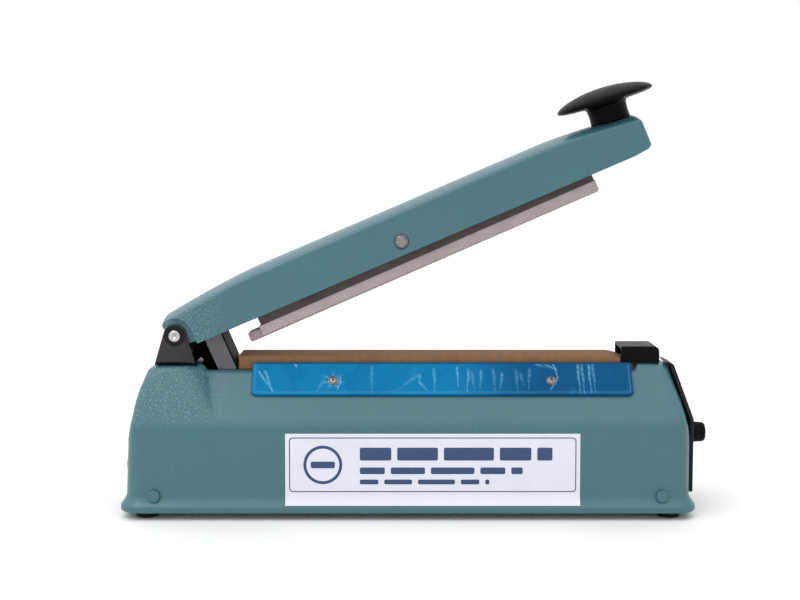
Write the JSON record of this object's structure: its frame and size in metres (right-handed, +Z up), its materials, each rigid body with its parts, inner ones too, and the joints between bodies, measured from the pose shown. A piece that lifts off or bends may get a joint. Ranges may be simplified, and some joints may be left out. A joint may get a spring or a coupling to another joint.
{
  "type": "impulse heat sealer",
  "caption": "Hand-operated impulse heat sealer with a raised cast arm, floating press bar, cloth-covered heating jaw and a timer on the front end.",
  "frame": {"origin": "middle of the whole machine's footprint, on the surface that the feet stand on", "axes": "+X along the jaw towards the handle and timer, +Y to the far side, +Z up"},
  "size_m": [0.325, 0.08, 0.2367],
  "materials": {
    "hammertone_paint": "hammertone enamel",
    "dark_steel": "dark satin",
    "bright_steel": "bright nickel",
    "sheet_steel": "zinc plated",
    "striker_steel": "satin",
    "aluminium": "brushed",
    "black_plastic": "satin",
    "black_rubber": "matte",
    "phenolic": "matte",
    "nichrome": "drawn",
    "brass": "machined",
    "ptfe_glass_cloth": "coated weave",
    "blue_film": "glossy",
    "silicone": "matte",
    "copper_winding": "lacquered",
    "core_steel": "varnished laminations",
    "board": "solder mask",
    "red_lens": "clear red",
    "red_plastic": "matte",
    "label_film": "coated"
  },
  "bodies": {
    "root": {"body_casting": "hammertone_paint", "base_plate": "sheet_steel", "base_screws": "bright_steel", "rubber_feet": "black_rubber", "hinge_bracket": "dark_steel", "bracket_screws": "bright_steel", "hinge_pin": "bright_steel", "hinge_bushes": "black_rubber", "return_spring": "dark_steel", "slot_guard": "black_plastic", "jaw_insulator": "phenolic", "element_underlay": "ptfe_glass_cloth", "heating_element": "nichrome", "rear_electrode": "brass", "front_electrode": "brass", "electrode_screws": "bright_steel", "ptfe_cloth": "ptfe_glass_cloth", "side_strip_near": "aluminium", "side_strip_far": "aluminium", "film_near": "blue_film", "film_far": "blue_film", "strip_screws": "bright_steel", "front_cap": "black_plastic", "control_panel": "black_plastic", "panel_screws": "bright_steel", "pilot_lamp": "red_lens", "timer_pot": "board", "circuit_board": "board", "board_parts": "black_plastic", "transformer_core": "core_steel", "transformer_winding": "copper_winding", "transformer_strap": "sheet_steel", "strap_screws": "bright_steel", "microswitch": "black_plastic", "switch_bracket": "sheet_steel", "fuse_holder": "black_plastic", "cord_grommet": "black_rubber", "label": "label_film"},
    "arm": {"press_arm": "hammertone_paint", "striker_bracket": "striker_steel", "striker_cover": "black_plastic", "striker_screws": "bright_steel", "handle_knob": "black_plastic", "handle_screw": "bright_steel", "pivot_screw": "bright_steel", "pivot_nut": "bright_steel", "pivot_spacers": "sheet_steel"},
    "press_bar": {"press_bar_carrier": "dark_steel", "press_bar_channel": "aluminium", "silicone_strip": "silicone", "bar_rivets": "bright_steel"},
    "timer": {"timer_knob": "black_plastic", "timer_shaft": "sheet_steel"},
    "switch_button": {"microswitch_plunger": "red_plastic"}
  },
  "joints": [
    {"name": "arm_swing", "type": "hinge", "parent": "root", "child": "arm", "pos_m": [-0.1331, 0, 0.098], "axis": [0, 1, 0], "range_deg": [0, 19.59], "stiffness_Nm_per_rad": 2.4, "springref_deg": -34.38, "deforming": ["return_spring"]},
    {"name": "press_bar_rock", "type": "hinge", "parent": "arm", "child": "press_bar", "pos_m": [-0.00898, 0, 0.14957], "axis": [0, 1, 0], "range_deg": [0, 4]},
    {"name": "timer_turn", "type": "hinge", "parent": "root", "child": "timer", "pos_m": [0.1525, 0, 0.0407], "axis": [1, 0, 0], "range_deg": [-135, 135]},
    {"name": "switch_press", "type": "slide", "parent": "root", "child": "switch_button", "axis": [0, 0, -1], "range_m": [0, 0.0016]}
  ],
  "couplings": [
    {"joint": "press_bar_rock", "follows": "arm_swing", "ratio": 0.20332},
    {"joint": "switch_press", "follows": "arm_swing", "m_per_rad": 0.0043871}
  ]
}
